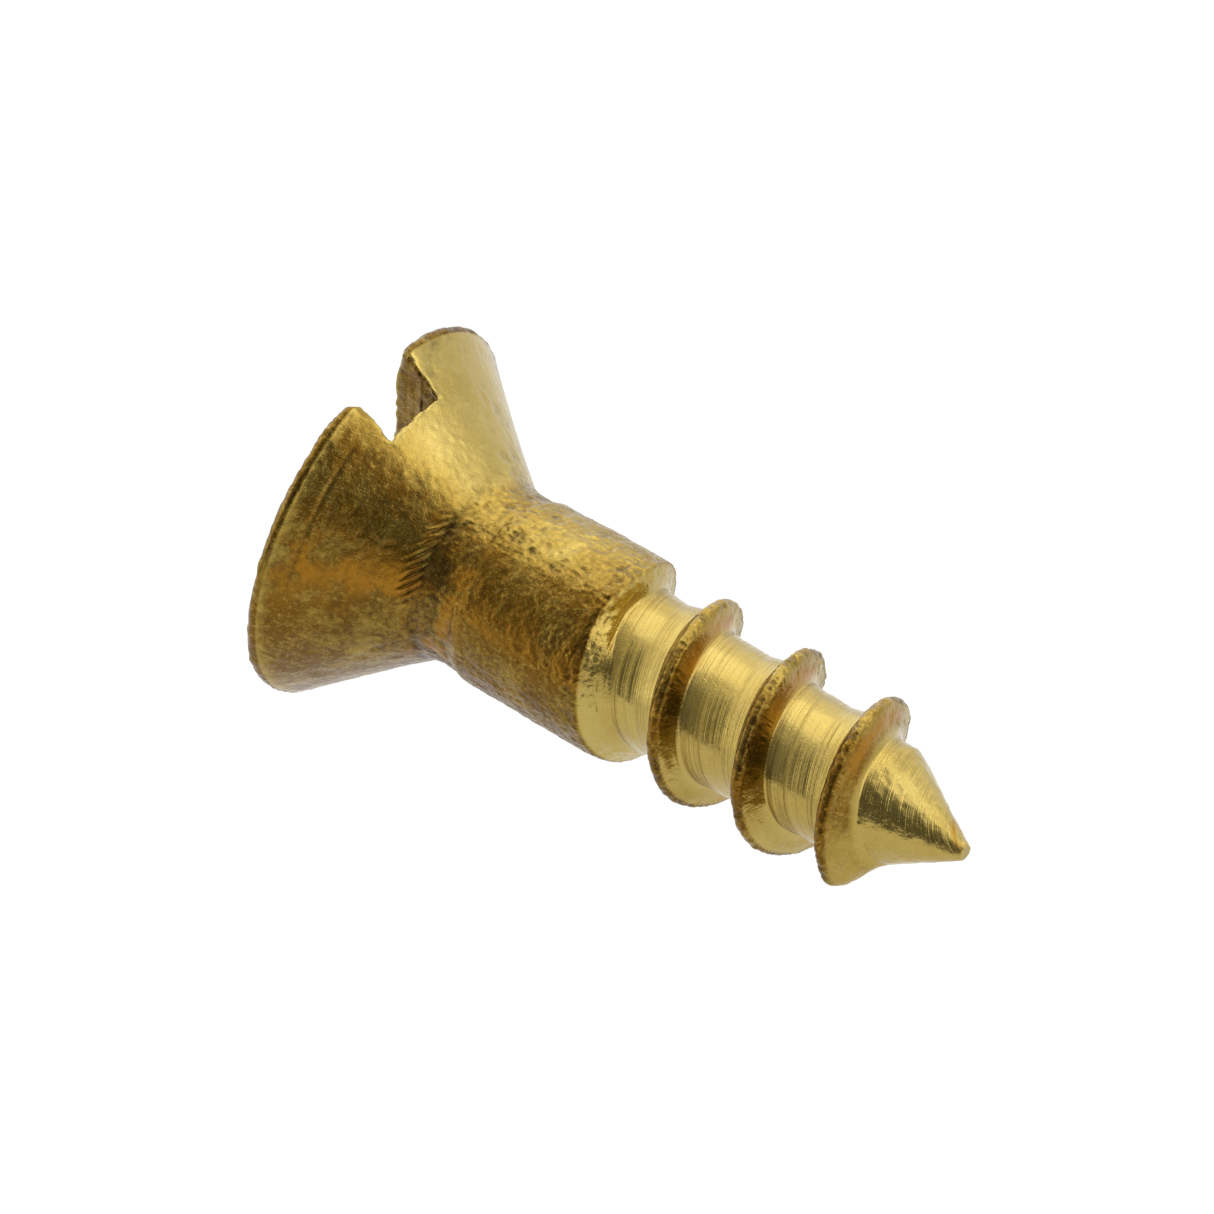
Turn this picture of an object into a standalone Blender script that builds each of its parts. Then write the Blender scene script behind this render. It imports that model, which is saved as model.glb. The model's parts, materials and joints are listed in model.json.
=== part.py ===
"""A small slotted countersunk wood screw, made from one piece of brass.

The screw is worked the way a screw machine works it. A blank is turned with its head, shank and point,
a spiral groove is cut into the shank to leave the thread, and a slot is sawn across the head. It is
modelled upright, with its face at z = 0 and its point down the -Z axis, and is then laid on a table.
Sizes are in metres, and a depth is measured from the head's face towards the point.
"""

import math

import bmesh
import bpy

MM = 0.001

# Overall
LENGTH = 5.80 * MM

# Head
HEAD_DIAMETER = 3.09 * MM
HEAD_ANGLE = math.radians(79)  # included angle of the countersink cone
HEAD_EDGE_RADIUS = 0.06 * MM  # rounding between the face and the cone
HEAD_HOLLOW = 0.018 * MM  # how far the cone's side is dished below a straight line
SLOT_WIDTH = 0.58 * MM
SLOT_DEPTH = 0.42 * MM

# Shank
NECK_DIAMETER = 1.465 * MM
NECK_FILLET = 0.40 * MM
SHANK_DIAMETER = 1.545 * MM  # at the thread
SHANK_LENGTH = 2.21 * MM  # face to the first groove's edge, where the groove reaches its full depth

# Thread
PITCH = 0.806 * MM
CREST_DIAMETER = 1.524 * MM
CREST_WIDTH = 0.06 * MM
ROOT_DIAMETER = 1.14 * MM  # at the shank
ROOT_DIAMETER_AT_POINT = 1.00 * MM
FLANK_ANGLE = math.radians(18)  # between a flank and a plane square to the axis
GROOVE_START_ANGLE = math.radians(201)  # from the slot, where the groove begins to sink in
GROOVE_RUN_OUT = 0.34  # turns over which the groove reaches its full depth

# Point
POINT_ANGLE = math.radians(59)  # included angle of the point's cone
TIP_RADIUS = 0.075 * MM
CREST_END_ANGLE = math.radians(136)  # included angle of the slope on which the last crest ends
CREST_END_DIAMETER = 0.86 * MM  # where that slope meets the cone

# How finely round shapes are divided
TURNED_STEPS = 48
GROOVE_STEPS_PER_TURN = 36
ARC_STEPS = 4
CUTTER_MARGIN = 0.1 * MM  # how far a cutter stands out of the metal
CONE_CLEARANCE = 0.004 * MM  # how far the groove's floor stays off the point's cone

BRASS_COLOUR = (0.62, 0.44, 0.16, 1.0)
BRASS_ROUGHNESS = 0.32


def clear_scene():
    for obj in list(bpy.data.objects):
        bpy.data.objects.remove(obj, do_unlink=True)


def new_collection(name, hidden=False):
    collection = bpy.data.collections.new(name)
    collection.hide_render = hidden
    bpy.context.scene.collection.children.link(collection)
    return collection


def brass():
    material = bpy.data.materials.new("brass")
    material.use_nodes = True
    shader = material.node_tree.nodes["Principled BSDF"]
    shader.inputs["Base Color"].default_value = BRASS_COLOUR
    shader.inputs["Metallic"].default_value = 1.0
    shader.inputs["Roughness"].default_value = BRASS_ROUGHNESS
    return material


def arc(centre, radius, start, end):
    """Points (radius from axis, depth) on an arc, its angles measured from the outward direction."""
    points = []
    for step in range(ARC_STEPS + 1):
        angle = start + (end - start) * step / ARC_STEPS
        points.append((centre[0] + radius * math.cos(angle), centre[1] + radius * math.sin(angle)))
    return points


def head_profile():
    """The face's rounded edge and the dished cone, down to the end of the neck's fillet."""
    half = HEAD_ANGLE / 2
    rim = HEAD_DIAMETER / 2
    neck = NECK_DIAMETER / 2
    edge = arc((rim - HEAD_EDGE_RADIUS, HEAD_EDGE_RADIUS), HEAD_EDGE_RADIUS, -math.pi / 2, math.pi / 2 - half)
    cone_top = edge[-1]
    corner_depth = cone_top[1] + (cone_top[0] - neck) / math.tan(half)
    tangent = NECK_FILLET * math.tan(half / 2)
    cone_end = (neck + tangent * math.sin(half), corner_depth - tangent * math.cos(half))
    dished = []
    for step in range(1, ARC_STEPS):
        share = step / ARC_STEPS
        sag = 4 * HEAD_HOLLOW * share * (1 - share)
        radius = cone_top[0] + (cone_end[0] - cone_top[0]) * share - sag
        dished.append((radius, cone_top[1] + (cone_end[1] - cone_top[1]) * share))
    fillet_centre = (neck + NECK_FILLET, corner_depth + tangent)
    fillet = arc(fillet_centre, NECK_FILLET, math.pi + half, math.pi)
    return [(0.0, 0.0)] + edge + dished + fillet


def point_tip():
    """The blunt end of the point, from where it leaves the cone to the axis."""
    return arc((0.0, LENGTH - TIP_RADIUS), TIP_RADIUS, POINT_ANGLE / 2, math.pi / 2)


def cone_radius(depth):
    """Radius of the point's cone, carried on past its ends."""
    tip_radius, tip_depth = point_tip()[0]
    return tip_radius + (tip_depth - depth) * math.tan(POINT_ANGLE / 2)


def cone_depth(radius):
    tip_radius, tip_depth = point_tip()[0]
    return tip_depth - (radius - tip_radius) / math.tan(POINT_ANGLE / 2)


def point_profile():
    """The slope on which the last crest ends, the cone and the blunt tip."""
    crest = CREST_DIAMETER / 2
    crest_end = CREST_END_DIAMETER / 2
    end_depth = cone_depth(crest_end)
    slope_depth = end_depth - (crest - crest_end) / math.tan(CREST_END_ANGLE / 2)
    return [(crest, slope_depth), (crest_end, end_depth)] + point_tip()[:-1] + [(0.0, LENGTH)]


def turned_blank(collection):
    """The whole screw before its groove and slot are cut: one profile turned about the axis."""
    profile = head_profile() + [(SHANK_DIAMETER / 2, SHANK_LENGTH)] + point_profile()
    mesh = bpy.data.meshes.new("wood_screw")
    vertices = [(radius, 0.0, -depth) for radius, depth in profile]
    edges = [(index, index + 1) for index in range(len(vertices) - 1)]
    mesh.from_pydata(vertices, edges, [])
    mesh.materials.append(brass())
    blank = bpy.data.objects.new("wood_screw", mesh)
    collection.objects.link(blank)
    turn = blank.modifiers.new("turn", "SCREW")
    turn.axis = "Z"
    turn.steps = TURNED_STEPS
    turn.render_steps = TURNED_STEPS
    turn.use_merge_vertices = True
    turn.merge_threshold = 0.0001 * MM
    turn.use_smooth_shade = True
    return blank


def root_radius(depth):
    """Radius of the metal left at the bottom of the groove, before the point's cone takes over."""
    share = min(max((depth - SHANK_LENGTH) / (cone_depth(0.0) - SHANK_LENGTH), 0.0), 1.0)
    return ROOT_DIAMETER / 2 + (ROOT_DIAMETER_AT_POINT - ROOT_DIAMETER) / 2 * share


def groove_section(turns):
    """The groove cutter's corners (radius, depth) after this many turns, its floor first.

    The floor follows the root, and from where the cone is thinner than the root it follows the cone.
    """
    metal = max(SHANK_DIAMETER, CREST_DIAMETER) / 2
    outside = metal + CUTTER_MARGIN
    clear_of_metal = metal + CUTTER_MARGIN / 2
    centre = groove_start_depth() + PITCH * turns
    sunk = min(turns / GROOVE_RUN_OUT, 1.0)
    sunk = sunk * sunk * (3 - 2 * sunk)
    floor = clear_of_metal + (root_radius(centre) - clear_of_metal) * sunk
    floor_half = (PITCH - CREST_WIDTH) / 2 - (CREST_DIAMETER / 2 - floor) * math.tan(FLANK_ANGLE)
    outside_half = floor_half + (outside - floor) * math.tan(FLANK_ANGLE)
    bend = min(max(cone_depth(floor), centre - 0.8 * floor_half), centre + 0.8 * floor_half)
    corners = []
    for depth in (centre - floor_half, bend, centre + floor_half):
        corners.append((max(min(floor, cone_radius(depth) + CONE_CLEARANCE), CONE_CLEARANCE), depth))
    return corners + [(outside, centre + outside_half), (outside, centre - outside_half)]


def groove_start_depth():
    """Depth of the groove's middle where its run-out begins."""
    return SHANK_LENGTH + (PITCH - CREST_WIDTH) / 2 - PITCH * GROOVE_RUN_OUT


def groove_cutter(collection):
    """A closed spiral ribbon, swept clockwise into the metal as seen from the head."""
    turns = (LENGTH - groove_start_depth()) / PITCH
    steps = math.ceil(turns * GROOVE_STEPS_PER_TURN)
    shape = bmesh.new()
    rings = []
    for step in range(steps + 1):
        angle = GROOVE_START_ANGLE - 2 * math.pi * turns * step / steps
        section = groove_section(turns * step / steps)
        rings.append(
            [shape.verts.new((r * math.cos(angle), r * math.sin(angle), -depth)) for r, depth in section]
        )
    for ring, following in zip(rings, rings[1:]):
        for side in range(len(ring)):
            after = (side + 1) % len(ring)
            shape.faces.new((ring[side], ring[after], following[after], following[side]))
    shape.faces.new(rings[0])
    shape.faces.new(rings[-1])
    bmesh.ops.recalc_face_normals(shape, faces=shape.faces)
    mesh = bpy.data.meshes.new("groove_cutter")
    shape.to_mesh(mesh)
    shape.free()
    mesh.shade_smooth()
    return add_cutter(mesh, collection)


def slot_cutter(collection):
    """A saw cut right across the head, along X."""
    shape = bmesh.new()
    bmesh.ops.create_cube(shape, size=1.0)
    length = HEAD_DIAMETER + 2 * CUTTER_MARGIN
    height = SLOT_DEPTH + CUTTER_MARGIN
    bmesh.ops.scale(shape, vec=(length, SLOT_WIDTH, height), verts=shape.verts)
    bmesh.ops.translate(shape, vec=(0.0, 0.0, height / 2 - SLOT_DEPTH), verts=shape.verts)
    mesh = bpy.data.meshes.new("slot_cutter")
    shape.to_mesh(mesh)
    shape.free()
    return add_cutter(mesh, collection)


def add_cutter(mesh, collection):
    cutter = bpy.data.objects.new(mesh.name, mesh)
    cutter.display_type = "WIRE"
    cutter.hide_render = True
    collection.objects.link(cutter)
    return cutter


def cut(target, cutter):
    """Take the cutter out of the target, and keep the two together when the target is moved."""
    modifier = target.modifiers.new(cutter.name, "BOOLEAN")
    modifier.operation = "DIFFERENCE"
    modifier.solver = "EXACT"
    modifier.object = cutter
    cutter.parent = target


def resting_tilt(points, head_depth):
    """The angle that the axis sinks towards the point when the head and the thread share a table.

    The points are those of the upright screw, and the side that goes down is its -X side.
    """
    head = [(point.x, point.z) for point in points if point.z > -head_depth]
    thread = [(point.x, point.z) for point in points if point.z < -SHANK_LENGTH]

    def lowest(side, tilt):
        return min(x * math.cos(tilt) + z * math.sin(tilt) for x, z in side)

    low, high = 0.0, math.pi / 4
    for _ in range(50):
        middle = (low + high) / 2
        if lowest(head, middle) < lowest(thread, middle):
            low = middle
        else:
            high = middle
    return (low + high) / 2


def evaluated_points(obj):
    bpy.context.view_layer.update()
    evaluated = obj.evaluated_get(bpy.context.evaluated_depsgraph_get())
    mesh = evaluated.to_mesh()
    points = [evaluated.matrix_world @ vertex.co for vertex in mesh.vertices]
    evaluated.to_mesh_clear()
    return points


def lay_on_table(screw):
    """Lay the screw along +X on z = 0, its slot upright, with its box centred over the origin."""
    head_depth = head_profile()[-1][1]
    tilt = resting_tilt(evaluated_points(screw), head_depth)
    screw.rotation_euler = (0.0, tilt - math.pi / 2, 0.0)
    points = evaluated_points(screw)
    for axis in range(2):
        values = [point[axis] for point in points]
        screw.location[axis] = -(min(values) + max(values)) / 2
    screw.location.z = -min(point.z for point in points)


def main():
    clear_scene()
    parts = new_collection("wood_screw")
    cutters = new_collection("cutters", hidden=True)
    screw = turned_blank(parts)
    cut(screw, groove_cutter(cutters))
    cut(screw, slot_cutter(cutters))
    lay_on_table(screw)


main()
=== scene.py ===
import json
import math

import bpy
import numpy as np
from mathutils import Matrix, Vector


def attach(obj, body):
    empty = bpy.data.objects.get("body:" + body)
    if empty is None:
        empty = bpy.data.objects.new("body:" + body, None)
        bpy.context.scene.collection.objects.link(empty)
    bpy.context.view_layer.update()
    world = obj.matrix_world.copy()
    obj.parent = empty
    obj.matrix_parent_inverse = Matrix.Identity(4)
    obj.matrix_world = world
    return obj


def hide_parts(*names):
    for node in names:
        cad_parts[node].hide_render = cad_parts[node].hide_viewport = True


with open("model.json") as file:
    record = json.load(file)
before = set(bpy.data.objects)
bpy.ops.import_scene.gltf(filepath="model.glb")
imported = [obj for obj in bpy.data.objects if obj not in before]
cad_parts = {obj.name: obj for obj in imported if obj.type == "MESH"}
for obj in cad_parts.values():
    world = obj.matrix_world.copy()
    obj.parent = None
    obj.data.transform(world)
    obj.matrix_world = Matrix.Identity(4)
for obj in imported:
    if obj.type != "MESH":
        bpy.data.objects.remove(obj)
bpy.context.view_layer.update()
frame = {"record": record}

# ---------------------------------------------------------------------------------------------
# Wood screw: one length of brass wire, headed and turned, with a thread cut into it, a slot sawn
# across the head and a cone point. Sizes are in millimetres, on a screw held point down; a depth is
# measured from the head's face, and a turn round the axis, clockwise as the screw is driven.

MM = 0.001

HEAD_RADIUS = 1.545
HEAD_HALF_ANGLE = math.radians(39.5)
HEAD_EDGE_RADIUS = 0.06
HEAD_HOLLOW = 0.018
NECK_RADIUS = 0.7325
NECK_FILLET = 0.40
SHANK_RADIUS = 0.7725
SHANK_END = 2.21
SHANK_SHOULDER = (1.33, 1.45)  # depths between which the shank grows most
SLOT_WIDTH = 0.58
SLOT_DEPTH = 0.42
LEAN = (0.051, -0.044)  # how much the face leans towards the point, along and across the slot
FACE_PROUD = 0.022  # how far the middle of the face stands above its place
BLUNTED = 0.028  # how much the point's tip has lost
LENGTH = 5.80
POINT_HALF_ANGLE = math.radians(29.5)
TIP_RADIUS = 0.075

PITCH = 0.806
CREST_RADIUS = 0.766
CREST_LAND = 0.085
ROOT_RADIUS = 0.582
ROOT_TAPER = 0.034  # how much the root narrows in each millimetre
ROOT_TAPER_FROM = 2.56  # depth where the root has the radius above
FIRST_CREST = 2.239  # depth of the thread's crest at turn zero
GROOVE_BEGINS = -0.417  # turns
GROOVE_RUN_OUT = 0.34  # turns over which the groove reaches its full depth
CREST_ENDS = 3.44  # turns
CREST_RUN_OUT = 0.11  # turns over which the last crest sinks away
SHANK_TURNS = 0.583  # turns over which the crest still has the shank's radius
GROOVE_FADES = 5.25  # depth past which there is no thread
TURN_ZERO = math.radians(52.5)  # where turn zero lies from the slot

LOBE_COLUMNS = 240
SLOT_COLUMNS = 40
FACE_ROWS = 60
HEAD_ROW = 0.012  # spacing of the rows down the head and shank
THREAD_ROW = 0.008
POINT_ROW = 0.010
POINT_ROWS_FROM = 5.18


def ease(low, high, x):
    t = np.clip((x - low) / (high - low), 0.0, 1.0)
    return t * t * (3 - 2 * t)


def face_edge(steps):
    """The rounded edge between the face and the cone, as (radius, depth) from the face outwards."""
    angles = np.linspace(-math.pi / 2, math.pi / 2 - HEAD_HALF_ANGLE, steps)
    radius = HEAD_RADIUS - HEAD_EDGE_RADIUS + HEAD_EDGE_RADIUS * np.cos(angles)
    return radius, HEAD_EDGE_RADIUS + HEAD_EDGE_RADIUS * np.sin(angles)


edge_radius, edge_depth = face_edge(9)
CONE_TOP = (edge_radius[-1], edge_depth[-1])
CORNER_DEPTH = CONE_TOP[1] + (CONE_TOP[0] - NECK_RADIUS) / math.tan(HEAD_HALF_ANGLE)
FILLET_TANGENT = NECK_FILLET * math.tan(HEAD_HALF_ANGLE / 2)
CONE_END = CORNER_DEPTH - FILLET_TANGENT * math.cos(HEAD_HALF_ANGLE)
NECK_DEPTH = CORNER_DEPTH + FILLET_TANGENT
TIP_CENTRE = LENGTH - TIP_RADIUS
TIP_START = TIP_CENTRE + TIP_RADIUS * math.sin(POINT_HALF_ANGLE)
TIP_START_RADIUS = TIP_RADIUS * math.cos(POINT_HALF_ANGLE)


def blank_radius(depth):
    """Radius of the headed blank at a depth below the face's edge, down to the thread."""
    share = np.clip((depth - CONE_TOP[1]) / (CONE_END - CONE_TOP[1]), 0.0, 1.0)
    straight = CONE_TOP[0] - (depth - CONE_TOP[1]) * math.tan(HEAD_HALF_ANGLE)
    cone = straight - 4 * HEAD_HOLLOW * share * (1 - share)
    below = np.clip(NECK_DEPTH - depth, 0.0, NECK_FILLET)
    fillet = NECK_RADIUS + NECK_FILLET - np.sqrt(NECK_FILLET**2 - below**2)
    tapered = np.clip((depth - NECK_DEPTH) / (SHANK_END - NECK_DEPTH), 0, 1)
    grown = 0.6 * ease(*SHANK_SHOULDER, depth) + 0.4 * tapered
    shank = NECK_RADIUS + (SHANK_RADIUS - NECK_RADIUS) * grown
    return np.where(depth < CONE_END, cone, np.where(depth < NECK_DEPTH, fillet, shank))


def point_radius(depth):
    return TIP_START_RADIUS + (TIP_START - depth) * math.tan(POINT_HALF_ANGLE)


# The thread is a groove cut by a single-point tool. Its flank towards the point is steep, the one
# towards the head has a low step at its foot, and the last turn stops short on the point.

POINT_FLANK = 0.100  # crest's middle to the root, on the side towards the point
STEP_WIDTH = (0.309, 0.136)  # crest's middle to the ends of the low step on the side towards the head
STEP_HEIGHT = 0.045


def thread_place(depth, angle):
    """Turns at the crest on the head's side of each place, and the distance from that crest."""
    turn = (TURN_ZERO - angle) / (2 * math.pi)
    turn = turn - np.floor(turn + 0.5)
    along = (depth - FIRST_CREST) / PITCH - turn
    whole = np.floor(along)
    return whole + turn, (along - whole) * PITCH


def root_radius(depth):
    return np.minimum(ROOT_RADIUS - ROOT_TAPER * (depth - ROOT_TAPER_FROM), point_radius(depth))


def thread_radius(depth, angle):
    """Radius of the threaded part: the root, with the flanks and the worn crest that stand on it."""
    turns, beyond = thread_place(depth, angle)
    before = PITCH - beyond
    root = root_radius(depth)
    top = np.where(turns < SHANK_TURNS, SHANK_RADIUS, CREST_RADIUS)
    slack = ease(0.10, 0.30, turns) * (1 - ease(0.55, 0.75, turns))
    shoulder = 1 - ease(0.07, 0.24, turns)
    wide = ease(2.3, 2.9, turns)
    land = CREST_LAND / 2 + 0.02 * slack + 0.145 * shoulder
    foot = POINT_FLANK + 0.045 * wide + 0.15 * slack + 0.16 * shoulder
    after_crest = np.clip(1 - (beyond - land) / (foot - land), 0.0, 1.0)
    stands = 1 - ease(CREST_ENDS, CREST_ENDS + CREST_RUN_OUT, turns)
    stands_next = 1 - ease(CREST_ENDS, CREST_ENDS + CREST_RUN_OUT, turns + 1)
    tall = np.maximum(CREST_RADIUS - root, 1e-6)
    step = STEP_HEIGHT / tall
    rise = np.clip((STEP_WIDTH[0] - before) / (STEP_WIDTH[0] - STEP_WIDTH[1]), 0.0, 1.0) * step
    climb = np.clip((STEP_WIDTH[1] - before) / (STEP_WIDTH[1] - CREST_LAND / 2), 0.0, 1.0) * (1 - step)
    cut = root + np.maximum(after_crest * stands * (top - root), (rise + climb) * stands_next * tall)
    sunk = ease(0.0, GROOVE_RUN_OUT, turns - GROOVE_BEGINS)
    uncut = np.where(depth < FIRST_CREST + 0.6 * PITCH, SHANK_RADIUS, CREST_RADIUS)
    return uncut + (cut - uncut) * sunk


# The outer surface is a grid of rows round the axis. Above the slot's floor it is two lobes.

def columns_at(radius):
    """Angles of the columns when the slot's walls stand at this radius, slot side first."""
    half = np.arcsin(SLOT_WIDTH / 2 / radius)
    across = np.linspace(-1, 1, SLOT_COLUMNS + 1)[:-1]
    along = np.linspace(0, 1, LOBE_COLUMNS + 1)[:-1]
    half = np.asarray(half)[..., None]
    lobe = half + (math.pi - 2 * half) * along
    return np.concatenate([across * half, lobe, math.pi + across * half, math.pi + lobe], axis=-1)


def rows_between(start, end, step):
    return np.linspace(start, end, max(2, int(round((end - start) / step)) + 1))


def on_surface(radius, angle, depth):
    return np.stack([radius * np.cos(angle), radius * np.sin(angle), -depth + 0 * angle], axis=-1)


parts_made = []  # each is a grid of points and its quads


def grid_quads(rows, columns, closed=False, outward=True):
    """The four corners of each quad of a grid; a closed grid's last column joins its first."""
    steps = columns if closed else columns - 1
    row, column = np.meshgrid(np.arange(rows - 1), np.arange(steps), indexing="ij")
    after = (column + 1) % columns
    here = row * columns
    under = (row + 1) * columns
    quads = [here + column, under + column, under + after, here + after]
    if not outward:
        quads.reverse()
    return np.stack(quads, axis=-1).reshape(-1, 4)


cone_rows = rows_between(CONE_TOP[1], SLOT_DEPTH, HEAD_ROW)[1:]
lobe_depth = np.concatenate([edge_depth, cone_rows])
lobe_radius = np.concatenate([edge_radius, blank_radius(cone_rows)])
lobe_angle = columns_at(lobe_radius)
lobe_angle = np.concatenate([lobe_angle, lobe_angle[:, :1] + 2 * math.pi], axis=1)

for first in (SLOT_COLUMNS, 2 * SLOT_COLUMNS + LOBE_COLUMNS):
    span = slice(first, first + LOBE_COLUMNS + 1)
    outer = on_surface(lobe_radius[:, None], lobe_angle[:, span], lobe_depth[:, None])
    parts_made.append((outer, grid_quads(len(lobe_depth), LOBE_COLUMNS + 1)))
    wall = outer.copy()
    wall[..., 1] = (1 if first == SLOT_COLUMNS else -1) * SLOT_WIDTH / 2
    parts_made.append((wall, grid_quads(len(lobe_depth), LOBE_COLUMNS + 1, outward=False)))
    share = np.linspace(0, 1, FACE_ROWS)[:, None, None]
    face = outer[0] + (wall[0] - outer[0]) * share
    parts_made.append((face, grid_quads(FACE_ROWS, LOBE_COLUMNS + 1, outward=False)))

body_depth = np.concatenate([
    rows_between(SLOT_DEPTH, SHANK_END, HEAD_ROW),
    rows_between(SHANK_END, POINT_ROWS_FROM, THREAD_ROW)[1:],
    rows_between(POINT_ROWS_FROM, TIP_START, POINT_ROW)[1:],
])
ring_angle = columns_at(blank_radius(np.array(SLOT_DEPTH)))
deep, round_ = np.meshgrid(body_depth, ring_angle, indexing="ij")
threaded_radius = np.minimum(thread_radius(deep, round_), blank_radius(deep))
body_radius = np.where(deep < NECK_DEPTH, blank_radius(deep), threaded_radius)
tip_angle = np.linspace(POINT_HALF_ANGLE, math.pi / 2, 10)[1:-1, None]
tip_depth = TIP_CENTRE + TIP_RADIUS * np.sin(tip_angle)
tip = on_surface(TIP_RADIUS * np.cos(tip_angle), ring_angle + 0 * tip_angle, tip_depth)
end = np.broadcast_to(np.array([0.0, 0.0, -LENGTH]), (1, len(ring_angle), 3))
body = np.concatenate([on_surface(body_radius, round_, deep), tip, end])
parts_made.append((body, grid_quads(len(body), len(ring_angle), closed=True)))

half_slot = ring_angle[: SLOT_COLUMNS + 1, None]
lobe_ring = ring_angle[SLOT_COLUMNS : SLOT_COLUMNS + LOBE_COLUMNS + 1]
spread = np.cos(lobe_ring) / math.cos(ring_angle[SLOT_COLUMNS])
floor_points = np.stack(np.broadcast_arrays(
    body_radius[0, 0] * np.cos(half_slot) * spread, body_radius[0, 0] * np.sin(half_slot), -SLOT_DEPTH,
), axis=-1)
parts_made.append((floor_points, grid_quads(SLOT_COLUMNS + 1, LOBE_COLUMNS + 1)))

# The grids meet in shared rows, so points that fall together become one.
points = np.concatenate([grid.reshape(-1, 3) for grid, quads in parts_made])
starts = np.cumsum([0] + [grid.size // 3 for grid, quads in parts_made])
faces = np.concatenate([quads + start for (grid, quads), start in zip(parts_made, starts)])
rounded = np.round(points * 1e5).astype(np.int64)
_, keep, joined = np.unique(rounded, axis=0, return_index=True, return_inverse=True)
points = points[keep]
faces = joined.reshape(-1)[faces]

# The edges that the saw and the tool leave are worn round by tumbling in a barrel with other screws.

depth = -points[:, 2]
angle = np.arctan2(points[:, 1], points[:, 0])
radius = np.hypot(points[:, 0], points[:, 1])
sides_of_quad = [faces[:, [0, 1]], faces[:, [1, 2]], faces[:, [2, 3]], faces[:, [3, 0]]]
edge_ends = np.concatenate(sides_of_quad)
edge_ends = edge_ends[edge_ends[:, 0] != edge_ends[:, 1]]


def wear_round(points, share, times):
    """Move each point towards the middle of its neighbours, by its own share, a number of times."""
    near = np.nonzero(share > 0.003)[0]
    place = np.full(len(points), -1)
    place[near] = np.arange(len(near))
    ends = edge_ends[place[edge_ends[:, 0]] >= 0]
    inside = place[ends[:, 0]]
    count = np.bincount(inside, minlength=len(near))[:, None]
    for _ in range(times):
        total = [np.bincount(inside, points[ends[:, 1], k], len(near)) for k in range(3)]
        middle = np.stack(total, axis=-1) / count
        points[near] += (middle - points[near]) * share[near, None]
    return points


def bell(distance, width):
    return np.exp(-((distance / width) ** 2))


skin_radius = np.where(depth < CONE_TOP[1], CONE_TOP[0], blank_radius(np.maximum(depth, CONE_TOP[1])))
from_wall = np.abs(np.abs(points[:, 1]) - SLOT_WIDTH / 2)
from_skin = np.abs(skin_radius - radius)
over_slot = np.abs(points[:, 1]) < SLOT_WIDTH / 2 + 0.001
from_edge = np.hypot(from_wall, np.minimum(from_skin, depth))
at_slot_edge = np.where(depth < SLOT_DEPTH + 0.001, bell(from_edge, 0.030), 0)
at_slot_edge = np.maximum(at_slot_edge, bell(np.hypot(depth - SLOT_DEPTH, from_skin), 0.035) * over_slot)
points = wear_round(points, at_slot_edge * 0.5, 6)

# The lobes' edges beside the slot are rounded most, and each of the four corners by its own blow.
CORNER_BLOWS = (  # side along the slot, side across it, width of the blow, how much more it rounds
    (1, -1, 0.26, 0.16),
    (1, 1, 0.20, 0.07),
    (-1, -1, 0.20, 0.06),
    (-1, 1, 0.22, 0.09),
)
inside_wall = np.abs(points[:, 1]) - SLOT_WIDTH / 2
worn = 0.032 + 0.010 * np.sin(points[:, 0] * 9 + points[:, 1] * 5)
worn = worn * (1 - ease(0.05, 0.15, inside_wall))
for x, y, width, extra in CORNER_BLOWS:
    corner = np.array([x * math.sqrt(HEAD_RADIUS**2 - SLOT_WIDTH**2 / 4), y * SLOT_WIDTH / 2, 0.0])
    worn = worn + extra * bell(np.linalg.norm(points - corner, axis=1), width)
inside = np.stack([depth, inside_wall, np.maximum(skin_radius - radius, 0)], axis=-1)
short = np.maximum(worn[:, None] - inside, 0)
reach = np.linalg.norm(short, axis=1)
in_lobe = (depth < SLOT_DEPTH - 0.0005) & (inside_wall > -0.0005)
pull = np.where(in_lobe, np.maximum(reach - worn, 0) / np.maximum(reach, 1e-9), 0)[:, None] * short
points[:, 2] -= pull[:, 0]
points[:, 1] += np.sign(points[:, 1]) * pull[:, 1]
points[:, :2] *= (1 - pull[:, 2] / np.maximum(radius, 0.1))[:, None]
turns, beyond = thread_place(depth, angle)
from_crest = np.minimum(beyond, PITCH - beyond)
threaded = (depth > SHANK_END - 0.1) & (depth < GROOVE_FADES)
points = wear_round(points, 0.6 * bell(from_crest, 0.085) * threaded, 24)


# Marks in the metal: dents from tumbling, lines from the tools and burrs where the saw broke out.

def scatter(cells, seed):
    """A random number from 0 to 1 for each cell of a lattice, the same every time."""
    mixed = np.full(cells.shape[:-1], (seed * 0x9E3779B9) % 2**32, np.uint32)
    for axis in range(cells.shape[-1]):
        mixed = (mixed ^ cells[..., axis].astype(np.int64).astype(np.uint32)) * np.uint32(0x85EBCA6B)
        mixed ^= mixed >> np.uint32(13)
        mixed *= np.uint32(0xC2B2AE35)
        mixed ^= mixed >> np.uint32(16)
    return mixed / 2.0**32


def grain(where, seed):
    """Smooth noise from -1 to 1 with features about one unit wide."""
    base = np.floor(where)
    t = where - base
    t = t * t * t * (t * (t * 6 - 15) + 10)
    total = 0.0
    for corner in np.ndindex(*(2,) * where.shape[-1]):
        corner = np.array(corner)
        total = total + scatter(base + corner, seed) * np.prod(np.where(corner, t, 1 - t), axis=-1)
    return total * 2 - 1


def layered_grain(where, seed, layers=3):
    return sum(grain(where * 2.03**layer, seed + layer) * 0.5**layer for layer in range(layers))


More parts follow.
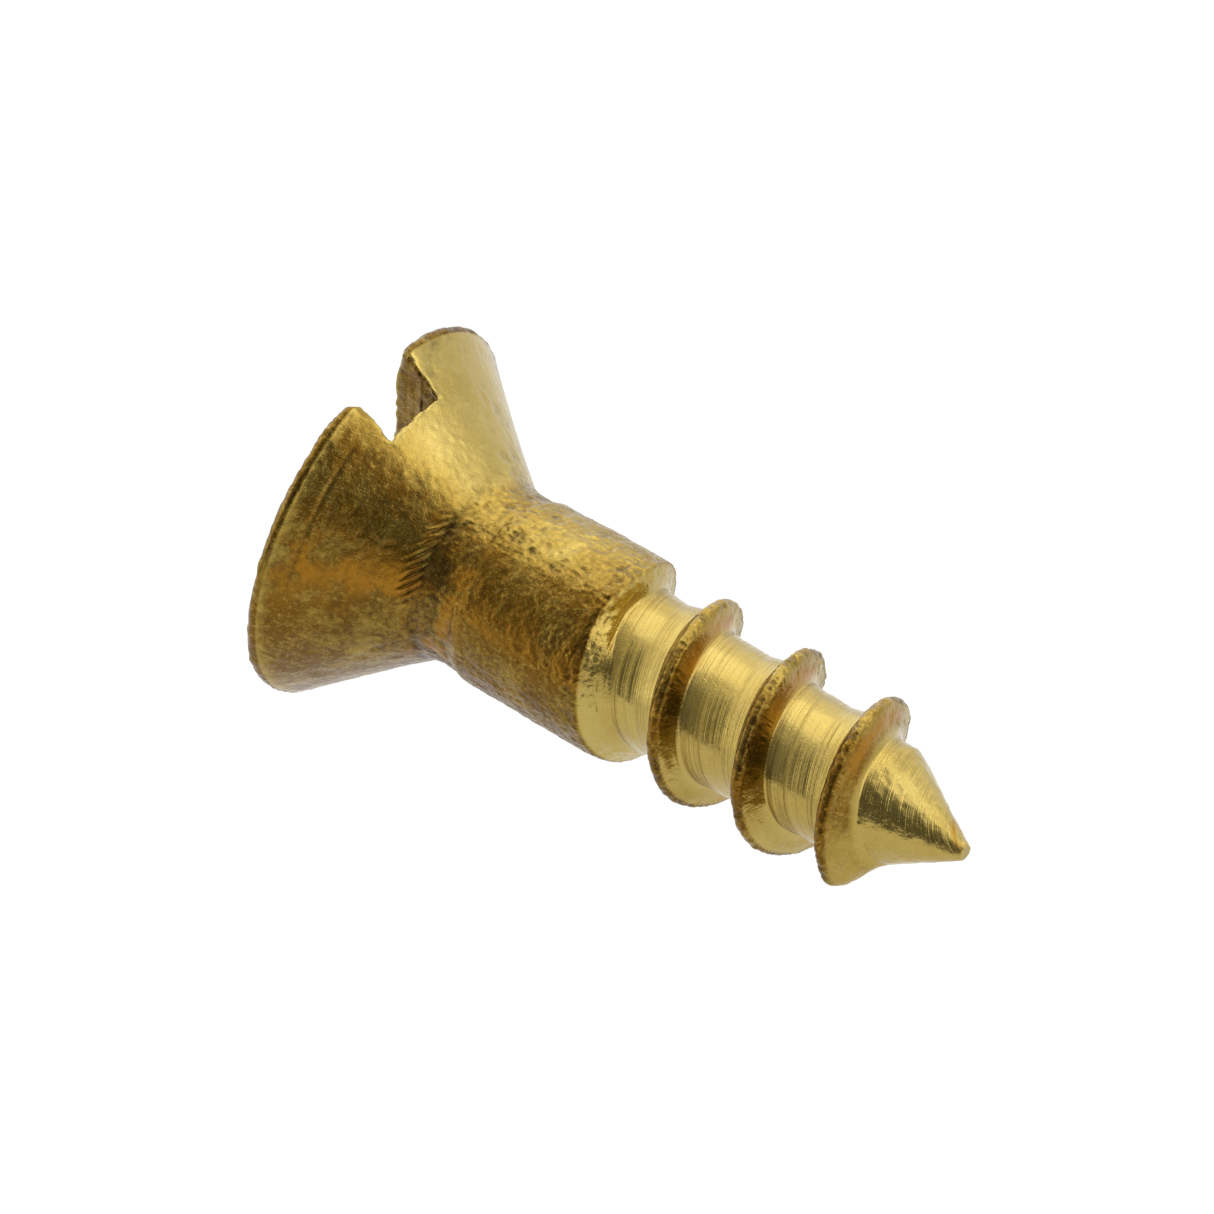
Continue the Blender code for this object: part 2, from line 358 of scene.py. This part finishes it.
def dents(where, spacing, seed, share=1.0):
    """Round dents, at most one to a cell, as a depth from 0 to 1."""
    base = np.floor(where / spacing)
    deepest = np.zeros(len(where))
    for cell in np.ndindex(3, 3, 3):
        cell = base + np.array(cell) - 1
        centre = np.stack([cell[:, axis] + scatter(cell, seed + axis) for axis in range(3)], axis=-1)
        size = spacing * (0.35 + 0.55 * scatter(cell, seed + 3))
        away = np.linalg.norm(where - centre * spacing, axis=1) / size
        hit = scatter(cell, seed + 4)
        dent = np.clip(1 - away**2, 0, 1) * (hit < share) * (0.3 + 0.7 * hit / share)
        deepest = np.maximum(deepest, dent)
    return deepest


def vertex_normals(points, faces):
    across = np.cross(points[faces[:, 2]] - points[faces[:, 0]], points[faces[:, 3]] - points[faces[:, 1]])
    total = np.zeros_like(points)
    for k in range(3):
        spread = np.repeat(across[:, k], 4)
        total[:, k] = np.bincount(faces.ravel(), spread, len(points))
    return total / np.maximum(np.linalg.norm(total, axis=1, keepdims=True), 1e-12)


# Where a mark lies: its degrees round the screw from its upper side, and the surface that it is on.
clock = np.degrees(np.mod(TURN_ZERO - angle, 2 * math.pi))
round_it = np.stack([np.cos(np.radians(clock)), np.sin(np.radians(clock))], axis=-1)
uncut = np.where(turns < SHANK_TURNS, SHANK_RADIUS, CREST_RADIUS)
in_groove = ease(0.006, 0.03, uncut - radius) * (depth > SHANK_END - 0.15)
on_point = ease(4.98, 5.06, depth)
on_core = in_groove * (1 - ease(0.02, 0.09, radius - root_radius(depth)))
on_flank = in_groove * (1 - on_core)
on_ridge = np.maximum(on_flank, bell(from_crest, 0.06) * (depth > SHANK_END + 0.25))
on_head = 1 - ease(NECK_DEPTH - 0.25, NECK_DEPTH - 0.05, depth)
in_slot = ((depth < SLOT_DEPTH + 0.001) & (from_skin > 0.0005) & (depth > 0.0005)) * 1.0
on_skin = np.clip(1 - in_groove - in_slot, 0, 1)
at_rim = bell(depth - 0.05, 0.075) * (from_skin < 0.06)

# Tumbling struck the shank most, on its upper side.
tumbled = on_skin * (1 - 0.78 * on_head) * (1 - 0.5 * on_point)
struck_above = ease(0, 25, clock) * (1 - ease(62, 84, clock))
struck = tumbled * (0.55 + 0.75 * struck_above + 0.4 * ease(120, 150, clock))
relief = 0.006 * grain(points / 0.5, 3) * (1 - in_groove) + 0.004 * grain(points / 0.19, 4) * tumbled
relief -= struck * (0.0085 * dents(points, 0.14, 11, 0.7) + 0.0065 * dents(points, 0.068, 21, 0.9))
relief -= 0.0034 * dents(points, 0.036, 31) * tumbled
crumpled = 1 - np.abs(grain(points * np.array([1.0, 1.0, 0.7]) / 0.050, 36))
relief += 0.0072 * crumpled * struck + 0.0008 * layered_grain(points / 0.03, 38, 2) * tumbled

# The thread's flanks are steep, so their marks are drawn on a wider screw to keep them round.
stretch = 1 + 1.6 * np.maximum(radius - ROOT_RADIUS, 0) / np.maximum(radius, ROOT_RADIUS)
up_ridge = points * np.stack([stretch, stretch, np.ones(len(points))], axis=-1)
relief += (0.0050 * grain(up_ridge / 0.10, 41) + 0.0055 * grain(points / 0.23, 43)) * on_ridge
ridge_dents = 0.0060 * dents(up_ridge, 0.075, 45, 0.8) + 0.0030 * dents(up_ridge, 0.042, 46, 0.8)
relief -= ridge_dents * on_ridge
point_marks = 0.0030 * layered_grain(points / 0.075, 47, 2) - 0.0030 * dents(points, 0.06, 49, 0.5)
relief += point_marks * on_point

# Tool lines run round the core beside the thread, and a few round the head's cone.
beside = np.stack([beyond / 0.030, turns * 2.2], axis=-1)
lines = grain(beside, 51) + 0.6 * grain(beside * np.array([2.3, 1.6]), 52)
relief += 0.0027 * lines * on_core * (1 - 0.65 * on_point)
relief += 0.0022 * grain(points / 0.11, 55) * on_core
LEDGES = ((0.165, -0.004), (0.30, 0.002), (0.41, -0.002))  # distance from the crest, step
ledges = sum(height * ease(at, at + 0.014, beyond) for at, height in LEDGES)
relief += ledges * on_core * (1 - on_point)
LINE_DEPTH = 0.256  # of the one deep line on the head's cone
turned = 0.0013 * grain(np.concatenate([depth[:, None] / 0.034, round_it * 2], axis=-1), 61)
scribed = 0.006 * bell(depth - LINE_DEPTH, 0.012) * ease(70, 80, clock) * (1 - ease(115, 135, clock))
relief += (turned - scribed + 0.0016 * layered_grain(points / 0.06, 63, 2)) * on_head * on_skin
relief -= 0.0045 * dents(points, 0.10, 65, 0.25) * on_head * on_skin

# Two gripping jaws bit slanting marks into the neck, and the heading left a crease below them.
JAW_DEPTH = 0.975
JAW_SPACING = 0.040
CREASE_DEPTH = 1.045
slant = 0.886 * depth - 0.465 * radius * angle
near_jaw = ease(66, 78, clock) * (1 - ease(118, 132, clock))
far_jaw = 0.8 * ease(235, 250, clock) * (1 - ease(290, 305, clock))
in_jaws = bell(depth - JAW_DEPTH, 0.050) * (near_jaw + far_jaw) * (0.75 + 0.35 * grain(points / 0.07, 71))
bites = (slant + 0.006 * grain(points / 0.1, 73)) / JAW_SPACING
relief += 0.0135 * np.sin(2 * math.pi * bites) * in_jaws
creased = 0.10 + 0.90 * ease(55, 80, clock) * (1 - ease(150, 210, clock))
relief -= 0.024 * bell(depth - CREASE_DEPTH, 0.036) * creased * (0.65 + 0.45 * grain(points / 0.12, 72))

# The saw scored the slot along its length, and its teeth pushed the metal out at the ends.
scored = np.stack([points[:, 0] / 0.5, points[:, 1] / 0.03, depth / 0.03], axis=-1)
relief += in_slot * (0.005 * layered_grain(scored, 81) + 0.006 * grain(points / 0.09, 83))
worn_corner = bell(np.linalg.norm(points - np.array([1.5, -0.3, -0.05]), axis=1), 0.35)
burr = at_slot_edge * np.clip(0.35 + grain(points / 0.06, 91), -0.3, 1.2) * (1 - worn_corner)
relief += 0.013 * burr

points = points + vertex_normals(points, faces) * relief[:, None]

# The tip is blunted, and the heading blow came a little from one side, so the head leans.
leaning = np.clip(1 - depth / CORNER_DEPTH, 0, 1)
points[:, 2] = np.maximum(points[:, 2], BLUNTED - LENGTH)
points[:, 2] -= leaning * (LEAN[0] * points[:, 0] + LEAN[1] * points[:, 1] - FACE_PROUD)


def make_mesh(name, points, faces):
    """A mesh of quads, with those that close to a triangle where the grid meets in a point."""
    corner = faces.astype(np.int64)
    kept = corner != np.roll(corner, -1, axis=1)
    sides = kept.sum(axis=1)
    corner, kept, sides = corner[sides > 2], kept[sides > 2], sides[sides > 2]
    mesh = bpy.data.meshes.new(name)
    mesh.vertices.add(len(points))
    mesh.vertices.foreach_set("co", points.astype(np.float32).ravel())
    mesh.loops.add(int(sides.sum()))
    mesh.loops.foreach_set("vertex_index", corner[kept].astype(np.int32))
    mesh.polygons.add(len(sides))
    starts = np.concatenate([[0], np.cumsum(sides)[:-1]])
    mesh.polygons.foreach_set("loop_start", starts.astype(np.int32))
    mesh.polygons.foreach_set("use_smooth", np.ones(len(sides), bool))
    mesh.update(calc_edges=True)
    mesh.validate()
    return mesh


mounts = {mount["name"]: mount for mount in frame["record"]["mounts"]}
out_of_face = Vector(mounts["head_face"]["axis"])
slot_floor = Vector(mounts["slot_floor"]["pos_m"])
face_centre = slot_floor + out_of_face * SLOT_DEPTH * MM
across = Vector((0, 1, 0)).cross(out_of_face)
lying = Matrix((
    (across.x, 0.0, out_of_face.x, face_centre.x),
    (across.y, 1.0, out_of_face.y, face_centre.y),
    (across.z, 0.0, out_of_face.z, face_centre.z),
    (0.0, 0.0, 0.0, 1.0),
))
placed = points * MM @ np.array(lying.to_3x3()).T + np.array(face_centre)

mesh = make_mesh("turned_screw", placed, faces)
screw = bpy.data.objects.new("turned_screw", mesh)
bpy.context.scene.collection.objects.link(screw)

# Tarnish settles where fingers and other screws don't rub: in the neck, the slot and the roots of the
# thread.
# The side turned away from the tent's light is given heavier tarnish as painted shade, and the flanks get
# painted shade and a painted lighter reflection by which way they face.

patchy = layered_grain(points / 0.45, 101, 4)
lengthwise = np.concatenate([depth[:, None] / 0.7, round_it * radius[:, None] / 0.09], axis=-1)
streaky = layered_grain(lengthwise, 111, 3)
# Painted shade: heavier tarnish on the side turned away from the tent's light, from its top round to its
# bottom.
low_side = ease(56, 78, clock) * (1 - ease(205, 275, clock))
on_top = 1 - ease(48, 62, clock) * (1 - ease(300, 345, clock))
head_tarnish_and_painted_shade = 0.10 + 0.85 * low_side + 0.25 * (1 - low_side) * (1 - on_top)
head_tarnish_and_painted_shade = head_tarnish_and_painted_shade + 0.16 * patchy + 0.16 * streaky * low_side
shank_tarnish_and_painted_shade = 0.52 + 0.45 * low_side + 0.25 * patchy
skin_tarnish_and_painted_shade = head_tarnish_and_painted_shade * on_head + shank_tarnish_and_painted_shade * (1 - on_head)
skin_tarnish_and_painted_shade = skin_tarnish_and_painted_shade * (1 - 0.90 * at_rim) * (1 - 0.75 * on_point)
# Painted shade on the flanks from about 50 to 130 degrees round, and a painted lighter reflection past 140
# degrees.
flank_tarnish_and_painted_shade = 0.50 + 0.26 * ease(50, 66, clock) * (1 - ease(108, 130, clock))
flank_tarnish_and_painted_shade = flank_tarnish_and_painted_shade - 0.25 * ease(112, 140, clock) + 0.25 * patchy
flank_tarnish_and_painted_shade = flank_tarnish_and_painted_shade * (0.30 + 0.70 * ease(0.5, 0.8, turns))
tarnish_and_painted_shade = skin_tarnish_and_painted_shade * on_skin + flank_tarnish_and_painted_shade * on_flank + in_slot * (1.0 + 0.2 * patchy)
tarnish_and_painted_shade = tarnish_and_painted_shade * (1 - 0.7 * at_slot_edge) + 0.12 * on_core * (1 + patchy)

# Thin amber tarnish lies in a band along the screw, round the neck and at the foot of each flank.
amber = bell(clock - 117, 12) * ease(-0.35, 0.45, patchy + 0.6 * streaky)
amber = amber * on_skin * (0.55 + 0.45 * on_head)
near_neck = bell(depth - 1.20, 0.20) * ease(60, 95, clock) * (1 - ease(160, 210, clock)) * on_skin
blotched = layered_grain(points / 0.17, 121, 3)
amber = np.maximum(amber, near_neck * ease(-0.1, 0.35, blotched))
at_foot = bell(beyond - 0.085, 0.022) * in_groove * (1 - ease(70, 100, clock)) * ease(0.6, 0.9, turns)
amber = np.maximum(amber, at_foot)

# Dirt stays in the dents and the slot's scores, and the dents also get painted shade. The crease, blotches
# beside the neck and the lower side get painted shade only.
dirt_and_painted_shade = np.clip(-relief / 0.010, 0, 1) * on_skin
# Painted shade in the crease below the head, on the side away from the light.
painted_crease_shade = bell(depth - CREASE_DEPTH - 0.030, 0.075) * ease(0.6, 0.95, creased)
dirt_and_painted_shade = np.maximum(dirt_and_painted_shade, painted_crease_shade * on_skin * ease(-0.6, 0.1, blotched))
# Painted shade in blotches beside the neck, on the side away from the light.
dirt_and_painted_shade = np.maximum(dirt_and_painted_shade, 0.9 * near_neck * ease(0.05, 0.40, -blotched))
# Painted shade along the lower side.
painted_underside_shade = 0.50 * bell(clock - 152, 24) * ease(-0.5, 0.3, blotched)
dirt_and_painted_shade = np.maximum(dirt_and_painted_shade, painted_underside_shade * on_skin * (1 - 0.75 * on_head))
dirt_and_painted_shade = np.maximum(dirt_and_painted_shade, 0.55 * in_slot * ease(-0.2, 0.5, layered_grain(scored * 0.5, 131, 2)))

masks = {
    "cut_bright": on_core,
    "tarnish_and_painted_shade": tarnish_and_painted_shade,
    "amber": amber,
    "dirt_and_painted_shade": dirt_and_painted_shade,
    "beside_thread": beyond,
}
for name, values in masks.items():
    layer = mesh.attributes.new(name, "FLOAT", "POINT")
    layer.data.foreach_set("value", values.astype(np.float32))


def node_group(name, inputs, outputs):
    """An empty group with its named sockets, and its input and output nodes."""
    group = bpy.data.node_groups.new(name, "ShaderNodeTree")
    for in_out, sockets in (("INPUT", inputs), ("OUTPUT", outputs)):
        for socket_name, kind, value in sockets:
            socket = group.interface.new_socket(socket_name, in_out=in_out, socket_type="NodeSocket" + kind)
            if value is not None:
                socket.default_value = value
    return group, group.nodes.new("NodeGroupInput"), group.nodes.new("NodeGroupOutput")


def add_node(tree, kind, settings=(), **inputs):
    """A node with its settings, and its inputs set to a value or linked from a socket."""
    node = tree.nodes.new("ShaderNode" + kind)
    for setting, value in dict(settings).items():
        setattr(node, setting, value)
    for socket, value in inputs.items():
        target = node.inputs[int(socket[1:])] if socket[0] == "_" else node.inputs[socket.replace("_", " ")]
        if isinstance(value, bpy.types.NodeSocket):
            tree.links.new(value, target)
        else:
            target.default_value = value
    return node


def sum_of(tree, operation, *terms, clamp=False):
    """The output of a Math node on these terms."""
    inputs = {"_%d" % place: term for place, term in enumerate(terms)}
    return add_node(tree, "Math", {"operation": operation, "use_clamp": clamp}, **inputs).outputs[0]


def blended(tree, share, low, high):
    node = add_node(tree, "Mix", {"data_type": "RGBA"}, _0=share, _6=low, _7=high)
    return node.outputs[2]


# Speckle: fine grains of tarnish, spread where a mask lets them.
speckle, given, made = node_group(
    "Tarnish speckle",
    [
        ("Where", "Vector", None),
        ("Size in mm", "Float", 0.05),
        ("Amount", "Float", 0.5),
        ("Softness", "Float", 0.3),
    ],
    [("Speckle", "Float", None)],
)
per_metre = sum_of(speckle, "DIVIDE", 1000.0, given.outputs["Size in mm"])
cloud = add_node(
    speckle, "TexNoise", Vector=given.outputs["Where"], Scale=per_metre, Detail=4.0, Roughness=0.62,
)
edge = sum_of(speckle, "MULTIPLY_ADD", given.outputs["Amount"], -0.5, 0.75)
above = sum_of(speckle, "SUBTRACT", cloud.outputs[0], edge)
spot = sum_of(speckle, "DIVIDE", above, given.outputs["Softness"])
shown = sum_of(speckle, "ADD", spot, 0.5, clamp=True)
speckle.links.new(shown, made.inputs["Speckle"])

# Scuffs: short scratches that lie mostly one way, from rubbing.
scuffs, given, made = node_group(
    "Rubbed scuffs",
    [("Where", "Vector", None), ("Turn", "Vector", (0.0, 0.0, 0.0)), ("Spacing in mm", "Float", 0.02)],
    [("Scuff", "Float", None)],
)
turned_to = add_node(
    scuffs, "VectorRotate", {"rotation_type": "EULER_XYZ"},
    Vector=given.outputs["Where"], Rotation=given.outputs["Turn"],
)
stretched = add_node(
    scuffs, "VectorMath", {"operation": "MULTIPLY"}, _0=turned_to.outputs[0], _1=(0.06, 1.0, 1.0),
)
per_metre = sum_of(scuffs, "DIVIDE", 1000.0, given.outputs["Spacing in mm"])
streak = add_node(
    scuffs, "TexNoise", Vector=stretched.outputs[0], Scale=per_metre, Detail=2.0, Roughness=0.5,
)
thin = add_node(
    scuffs, "MapRange", {"interpolation_type": "SMOOTHSTEP"},
    Value=streak.outputs[0], From_Min=0.56, From_Max=0.70,
)
scuffs.links.new(thin.outputs[0], made.inputs["Scuff"])


def use_group(tree, group, **inputs):
    node = tree.nodes.new("ShaderNodeGroup")
    node.node_tree = group
    for socket, value in inputs.items():
        target = node.inputs[socket.replace("_", " ")]
        if isinstance(value, bpy.types.NodeSocket):
            tree.links.new(value, target)
        else:
            target.default_value = value
    return node.outputs[0]


CLEAN_BRASS = (0.472, 0.356, 0.104, 1)
DULL_BRASS = (0.33, 0.222, 0.045, 1)
BROWN_BRASS = (0.155, 0.078, 0.009, 1)
DARK_BROWN = (0.045, 0.026, 0.010, 1)
AMBER = (0.36, 0.165, 0.016, 1)

brass = bpy.data.materials.new("old_brass")
brass.use_nodes = True
tree = brass.node_tree
shader = tree.nodes["Principled BSDF"]
place = add_node(tree, "TexCoord").outputs["Object"]
mask = {name: add_node(tree, "Attribute", {"attribute_name": name}).outputs["Fac"] for name in masks}

specks = use_group(tree, speckle, Where=place, Size_in_mm=0.022, Amount=0.28, Softness=0.10)
fine = use_group(tree, speckle, Where=place, Size_in_mm=0.045, Amount=0.45, Softness=0.25)
broad = use_group(tree, speckle, Where=place, Size_in_mm=0.22, Amount=0.5, Softness=0.35)
along = use_group(tree, scuffs, Where=place, Turn=(0.3, 0.1, 0.5), Spacing_in_mm=0.022)
athwart = use_group(tree, scuffs, Where=place, Turn=(1.1, 0.7, 2.0), Spacing_in_mm=0.018)
scuffed = sum_of(tree, "MAXIMUM", along, athwart)

# Tarnish, and the painted shade given as heavier tarnish, are uneven at the scale of a grain, and scuffs
# have rubbed through them.
uneven = sum_of(tree, "MULTIPLY_ADD", fine, 0.30, sum_of(tree, "MULTIPLY_ADD", broad, 0.20, 0.75))
rubbed = sum_of(tree, "MULTIPLY_ADD", scuffed, -0.35, 1.0)
tarnish_and_shade_amount = sum_of(tree, "MULTIPLY", mask["tarnish_and_painted_shade"], sum_of(tree, "MULTIPLY", uneven, rubbed))
dulled = sum_of(tree, "MULTIPLY", tarnish_and_shade_amount, 2.2, clamp=True)
browned = sum_of(tree, "MULTIPLY_ADD", tarnish_and_shade_amount, 1.8, -0.8, clamp=True)
colour = blended(tree, dulled, CLEAN_BRASS, DULL_BRASS)
colour = blended(tree, browned, colour, BROWN_BRASS)
warm = sum_of(tree, "MULTIPLY", mask["amber"], sum_of(tree, "MULTIPLY_ADD", broad, 0.5, 0.5), clamp=True)
colour = blended(tree, warm, colour, AMBER)
# Dirt and painted shade darken the colour towards dark brown.
deep = sum_of(tree, "MULTIPLY", mask["dirt_and_painted_shade"], sum_of(tree, "MULTIPLY_ADD", fine, 0.5, 0.42))
spotted = sum_of(tree, "MULTIPLY", specks, sum_of(tree, "MULTIPLY_ADD", browned, 0.45, 0.10))
dark = sum_of(tree, "MAXIMUM", deep, spotted, clamp=True)
colour = blended(tree, dark, colour, DARK_BROWN)
tree.links.new(colour, shader.inputs["Base Color"])

skin_gloss = sum_of(tree, "MULTIPLY_ADD", mask["cut_bright"], -0.06, 0.20)
gloss = sum_of(tree, "MULTIPLY_ADD", browned, 0.12, skin_gloss)
tree.links.new(gloss, shader.inputs["Roughness"])
shader.inputs["Metallic"].default_value = 1.0

# The finest relief: lines that the thread tool left beside the crest, pits, and the scuffs.
thread_lines = add_node(
    tree, "TexNoise", {"noise_dimensions": "1D"},
    W=mask["beside_thread"], Scale=75.0, Detail=3.0, Roughness=0.6,
)
lines = sum_of(tree, "MULTIPLY", thread_lines.outputs[0], mask["cut_bright"])
pits = add_node(tree, "TexNoise", Vector=place, Scale=52000.0, Detail=3.0, Roughness=0.6).outputs[0]
skin_pits = sum_of(tree, "MULTIPLY", pits, sum_of(tree, "SUBTRACT", 1.25, mask["cut_bright"]))
grooved = sum_of(tree, "MULTIPLY_ADD", scuffed, -0.5, skin_pits)
height = sum_of(tree, "MULTIPLY_ADD", lines, 2.0, grooved)
bump = add_node(tree, "Bump", Height=height, Strength=1.0, Distance=0.0000014)
tree.links.new(bump.outputs[0], shader.inputs["Normal"])
mesh.materials.append(brass)

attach(screw, "root")
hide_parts("wood_screw")

# ---------------------------------------------------------------------------------------------
# Table: a plain white sheet that glows a little, as a light table does, so the screw casts no shadow
# on it.

TABLE_SIZE = 0.6

sheet = bpy.data.meshes.new("white_table")
half = TABLE_SIZE / 2
corners = [(-half, -half, 0), (half, -half, 0), (half, half, 0), (-half, half, 0)]
sheet.from_pydata(corners, [], [(0, 1, 2, 3)])
table = bpy.data.objects.new("white_table", sheet)
bpy.context.scene.collection.objects.link(table)
white = bpy.data.materials.new("white_sheet")
white.use_nodes = True
shader = white.node_tree.nodes["Principled BSDF"]
shader.inputs["Base Color"].default_value = (0.06, 0.06, 0.06, 1)
shader.inputs["Roughness"].default_value = 0.9
shader.inputs["Specular IOR Level"].default_value = 0.0
shader.inputs["Emission Color"].default_value = (1, 1, 1, 1)
shader.inputs["Emission Strength"].default_value = 0.99
sheet.materials.append(white)

# ---------------------------------------------------------------------------------------------
# Light: a pale tent over the screw, brightest above its far side and darkest where its point looks.

world = bpy.data.worlds.new("studio")
bpy.context.scene.world = world
world.use_nodes = True
nodes, links = world.node_tree.nodes, world.node_tree.links
nodes.clear()
coordinate = nodes.new("ShaderNodeTexCoord")
split = nodes.new("ShaderNodeSeparateXYZ")
turn = nodes.new("ShaderNodeMath")
turn.operation = "ARCTAN2"
links.new(coordinate.outputs["Generated"], split.inputs[0])
links.new(split.outputs["Z"], turn.inputs[0])
links.new(split.outputs["Y"], turn.inputs[1])
share = nodes.new("ShaderNodeMapRange")
share.inputs["From Min"].default_value = 0.0
share.inputs["From Max"].default_value = math.pi
links.new(turn.outputs[0], share.inputs["Value"])
ramp = nodes.new("ShaderNodeValToRGB")
ramp.color_ramp.interpolation = "EASE"
LEVELS = (  # degrees over the screw from its +Y side, how bright the tent is there
    (0, 1.2), (28, 1.45), (48, 2.15), (74, 1.95), (101, 0.78), (125, 0.40), (150, 0.29), (180, 0.25),
)
BRIGHTEST = 2.5
stops = ramp.color_ramp.elements
while len(stops) < len(LEVELS):
    stops.new(0.5)
for stop, (degrees, level) in zip(stops, LEVELS):
    stop.position = degrees / 180
    stop.color = (level / BRIGHTEST, level / BRIGHTEST, level / BRIGHTEST, 1)
links.new(share.outputs[0], ramp.inputs[0])
room = nodes.new("ShaderNodeBackground")
room.inputs["Strength"].default_value = BRIGHTEST


def room_math(operation, *terms, clamp=False):
    node = nodes.new("ShaderNodeMath")
    node.operation = operation
    node.use_clamp = clamp
    for socket, term in zip(node.inputs, terms):
        if isinstance(term, bpy.types.NodeSocket):
            links.new(term, socket)
        else:
            socket.default_value = term
    return node.outputs[0]


# Dark from where the screw's point looks, bright at the end of the tent behind the head, and the
# tent's cloth hangs in soft folds across the screw.
facing = nodes.new("ShaderNodeVectorMath")
facing.operation = "DOT_PRODUCT"
links.new(coordinate.outputs["Generated"], facing.inputs[0])
facing.inputs[1].default_value = (0.65, -0.40, 0.65)
dark_side = room_math("MULTIPLY_ADD", facing.outputs["Value"], 4.3, -3.0, clamp=True)
folds = room_math("SINE", room_math("MULTIPLY_ADD", split.outputs["X"], 7.0, 2.1))
folded = room_math("MULTIPLY_ADD", folds, 0.22, 1.02)
dimmed = room_math("MULTIPLY", folded, room_math("MULTIPLY_ADD", dark_side, -0.55, 1.0))
level = room_math("MULTIPLY", ramp.outputs[0], dimmed)
behind_head = room_math("MULTIPLY_ADD", split.outputs["X"], -2.6, -0.95, clamp=True)
lit = nodes.new("ShaderNodeMix")
links.new(behind_head, lit.inputs[0])
links.new(level, lit.inputs[2])
lit.inputs[3].default_value = 0.8
links.new(lit.outputs[0], room.inputs["Color"])
pale = nodes.new("ShaderNodeBackground")
pale.inputs["Color"].default_value = (1, 1, 1, 1)
pale.inputs["Strength"].default_value = 1.0
seen = nodes.new("ShaderNodeLightPath")
choice = nodes.new("ShaderNodeMixShader")
links.new(seen.outputs["Is Camera Ray"], choice.inputs[0])
links.new(room.outputs[0], choice.inputs[1])
links.new(pale.outputs[0], choice.inputs[2])
output = nodes.new("ShaderNodeOutputWorld")
links.new(choice.outputs[0], output.inputs["Surface"])

bpy.context.scene.view_settings.view_transform = "Standard"

# ---------------------------------------------------------------------------------------------
# Camera: a long lens, looking down at the screw from its point's side.

VIEW_WIDTH = 9.154 * MM
DISTANCE = 0.4
towards = Vector((0.5579, -0.5456, 0.6253)).normalized()
right = Vector((0.7641, 0.6317, -0.1305))
right = (right - towards * right.dot(towards)).normalized()
up = towards.cross(right)
FACE_IN_VIEW = (-0.1955, 0.0820)  # where the face's middle lies from the view's middle, in view widths
aim = face_centre - (right * FACE_IN_VIEW[0] + up * FACE_IN_VIEW[1]) * VIEW_WIDTH
lens = bpy.data.cameras.new("camera")
lens.sensor_width = 36
lens.lens = 36 * DISTANCE / VIEW_WIDTH
lens.clip_start = 0.01
lens.clip_end = 5
camera = bpy.data.objects.new("camera", lens)
bpy.context.scene.collection.objects.link(camera)
eye = aim + towards * DISTANCE
camera.matrix_world = Matrix((
    (right.x, up.x, towards.x, eye.x),
    (right.y, up.y, towards.y, eye.y),
    (right.z, up.z, towards.z, eye.z),
    (0, 0, 0, 1),
))
bpy.context.scene.camera = camera
